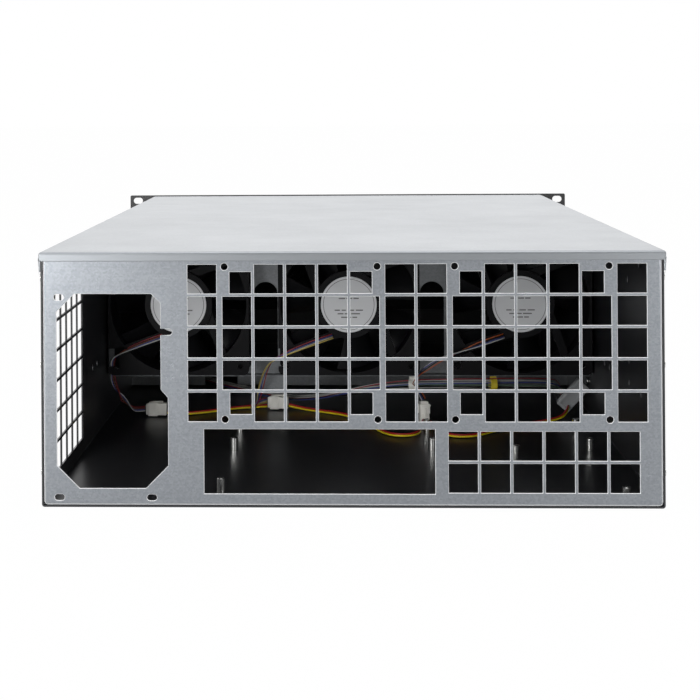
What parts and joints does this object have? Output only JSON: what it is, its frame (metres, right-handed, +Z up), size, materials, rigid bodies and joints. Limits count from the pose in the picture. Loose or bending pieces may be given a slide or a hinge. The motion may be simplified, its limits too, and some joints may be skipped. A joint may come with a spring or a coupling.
{
  "type": "empty rackmount server case",
  "caption": "Empty 4U rackmount case: black folded chassis, galvanised rear panel with vent grid and cutouts, galvanised cover, fan wall with fans and their leads, black front with ears.",
  "frame": {"origin": "middle of the bounding box in X and Y, underside of the floor in Z", "axes": "+Y out through the back panel along the depth, +Z up, +X to the left when looking at the back"},
  "size_m": [0.4826, 0.6892, 0.177],
  "materials": {
    "black_paint": "semi-gloss black powder coat",
    "galvanised_steel": "galvanised sheet, satin",
    "black_anodised": "black anodised",
    "filter_foam": "open-cell foam",
    "black_plastic": "fine texture",
    "blade_plastic": "satin",
    "motor_core": "laminated core with windings",
    "label_paper": "printed film",
    "clear_lens": "tinted lens",
    "circuit_board": "solder mask",
    "nickel_steel": "nickel plated",
    "black_screws": "blackened",
    "ivory_nylon": "moulded",
    "clear_nylon": "moulded, milky",
    "yellow_nylon": "moulded",
    "fan_wires": "several coloured wires in one lead",
    "supply_wires": "a yellow and a red wire",
    "bundle_wires": "coloured wires tied in a bundle"
  },
  "bodies": {
    "case": {"chassis_base": "black_paint", "rear_panel": "galvanised_steel", "top_cover": "galvanised_steel", "front_panel": "black_paint", "handle_left": "black_anodised", "handle_right": "black_anodised", "dust_filter": "filter_foam", "filter_frame": "black_paint", "tact_switches": "black_plastic", "indicator_leds": "clear_lens", "front_board": "circuit_board", "board_pillars": "nickel_steel", "board_plug": "ivory_nylon", "fan_wall": "galvanised_steel", "fan_wall_rivets": "nickel_steel", "fan_screws": "nickel_steel", "cross_rail": "galvanised_steel", "cross_rail_rivets": "nickel_steel", "rear_panel_rivets": "nickel_steel", "cover_screws": "black_screws", "front_panel_screws": "black_screws", "handle_screws": "black_screws", "wall_screw": "nickel_steel", "motherboard_standoffs": "nickel_steel", "short_standoff": "nickel_steel", "fan_plug_left": "ivory_nylon", "fan_plug_middle": "ivory_nylon", "fan_plug_right": "ivory_nylon", "supply_plug": "clear_nylon", "front_bundle_plug": "black_plastic", "tie_yellow": "yellow_nylon", "tie_white": "ivory_nylon", "front_bundle": "bundle_wires", "fan_frame_left": "black_plastic", "fan_stator_left": "motor_core", "fan_label_left": "label_paper", "fan_lead_left": "fan_wires", "supply_lead_left": "supply_wires", "fan_frame_middle": "black_plastic", "fan_stator_middle": "motor_core", "fan_label_middle": "label_paper", "fan_lead_middle": "fan_wires", "supply_lead_middle": "supply_wires", "fan_frame_right": "black_plastic", "fan_stator_right": "motor_core", "fan_label_right": "label_paper", "fan_lead_right": "fan_wires", "supply_lead_right": "supply_wires"},
    "rotor_left": {"fan_rotor_left": "blade_plastic"},
    "rotor_middle": {"fan_rotor_middle": "blade_plastic"},
    "rotor_right": {"fan_rotor_right": "blade_plastic"},
    "power_cap": {"power_button": "black_plastic"},
    "reset_cap": {"reset_button": "black_plastic"}
  },
  "joints": [
    {"name": "fan_spin_left", "type": "hinge", "parent": "case", "child": "rotor_left", "pos_m": [0.145, 0.0774, 0.107], "axis": [0, 1, 0], "continuous": true},
    {"name": "fan_spin_middle", "type": "hinge", "parent": "case", "child": "rotor_middle", "pos_m": [0, 0.0774, 0.107], "axis": [0, 1, 0], "continuous": true},
    {"name": "fan_spin_right", "type": "hinge", "parent": "case", "child": "rotor_right", "pos_m": [-0.145, 0.0774, 0.107], "axis": [0, 1, 0], "continuous": true},
    {"name": "power_press", "type": "slide", "parent": "case", "child": "power_cap", "axis": [0, 1, 0], "range_m": [0, 0.002], "stiffness_N_per_m": 400, "springref_m": -0.001},
    {"name": "reset_press", "type": "slide", "parent": "case", "child": "reset_cap", "axis": [0, 1, 0], "range_m": [0, 0.0015], "stiffness_N_per_m": 400, "springref_m": -0.001}
  ]
}
